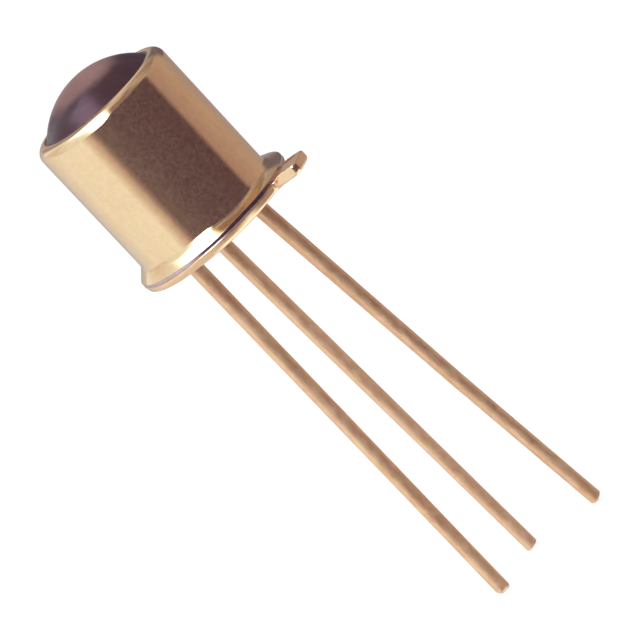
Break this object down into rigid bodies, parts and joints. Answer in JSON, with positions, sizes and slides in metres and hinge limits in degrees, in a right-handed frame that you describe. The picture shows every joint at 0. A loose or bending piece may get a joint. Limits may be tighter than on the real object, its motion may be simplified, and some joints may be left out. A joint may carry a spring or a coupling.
{
  "type": "photodetector",
  "caption": "Round gold-plated metal-can phototransistor with a domed glass lens, a flange with an index tab, and straight wire leads for soldering to a board.",
  "frame": {"origin": "centre of the header's underside, on the seating plane", "axes": "+Z out through the lens, the leads hang towards -Z; +X towards the index tab; the emitter lead is 45 degrees from the tab towards +Y, the base lead at 135 and the collector lead at 225 degrees"},
  "size_m": [0.0064, 0.0054, 0.0202],
  "materials": {
    "can_gold": "polished",
    "header_gold": "satin",
    "lead_gold": "satin",
    "lens_glass": "polished",
    "seal_glass": "gloss",
    "solder": "satin",
    "silicon": "polished",
    "bond_metal": "satin",
    "bond_gold": "polished"
  },
  "bodies": {
    "root": {"can": "can_gold", "lens": "lens_glass", "header": "header_gold", "header_glass": "seal_glass", "emitter_lead": "lead_gold", "base_lead": "lead_gold", "collector_lead": "lead_gold", "chip_attach": "solder", "detector_chip": "silicon", "emitter_bond_pad": "bond_metal", "base_bond_pad": "bond_metal", "emitter_bond_wire": "bond_gold", "base_bond_wire": "bond_gold"}
  },
  "joints": []
}
